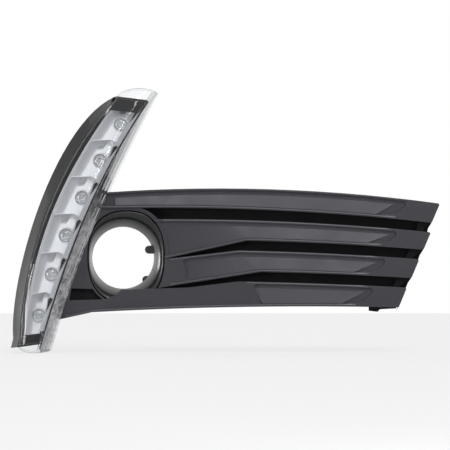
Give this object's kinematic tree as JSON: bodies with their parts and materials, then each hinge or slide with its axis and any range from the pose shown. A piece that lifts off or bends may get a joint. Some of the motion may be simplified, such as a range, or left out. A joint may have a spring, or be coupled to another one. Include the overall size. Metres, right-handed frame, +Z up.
{
  "type": "daytime running light",
  "caption": "Car daytime running light: a curved column of clear optics behind a clear cover, set beside a satin black fog lamp cover with long slats and a round lamp bore.",
  "frame": {"origin": "on the axis of the fog lamp bore, in the middle of its length", "axes": "+X along the slats towards their free tips, +Z up as fitted in the bumper, -Y is the front that faces ahead of the car"},
  "size_m": [0.5797, 0.0806, 0.356],
  "materials": {
    "satin_black": "satin grained mould surface",
    "housing_black": "smooth satin",
    "clear_lens": "clear polycarbonate, polished",
    "bead_grey": "matt sealant",
    "mask_black": "gloss black",
    "tray_silver": "satin silver, metallised",
    "optic_clear": "clear acrylic, polished",
    "board_white": "white solder resist",
    "chip_yellow": "phosphor over a white body",
    "driver_dark": "moulded",
    "sink_aluminium": "as cast",
    "pin_brass": "tinned brass",
    "vent_grey": "matt",
    "screw_steel": "zinc plated",
    "nut_steel": "zinc plated spring steel"
  },
  "bodies": {
    "root": {"fog_cover": "satin_black", "lamp_housing": "housing_black", "outer_lens": "clear_lens", "sealing_bead": "bead_grey", "inner_mask": "mask_black", "reflector_tray": "tray_silver", "optic_1": "optic_clear", "optic_2": "optic_clear", "optic_3": "optic_clear", "optic_4": "optic_clear", "optic_5": "optic_clear", "optic_6": "optic_clear", "led_board": "board_white", "led_1": "chip_yellow", "led_2": "chip_yellow", "led_3": "chip_yellow", "led_4": "chip_yellow", "led_5": "chip_yellow", "led_6": "chip_yellow", "driver_parts": "driver_dark", "heat_sink": "sink_aluminium", "connector_socket": "housing_black", "connector_pins": "pin_brass", "vent_cap": "vent_grey", "tray_screws": "screw_steel", "carrier_screws": "screw_steel", "lamp_screws": "screw_steel", "spring_nuts": "nut_steel"}
  },
  "joints": []
}
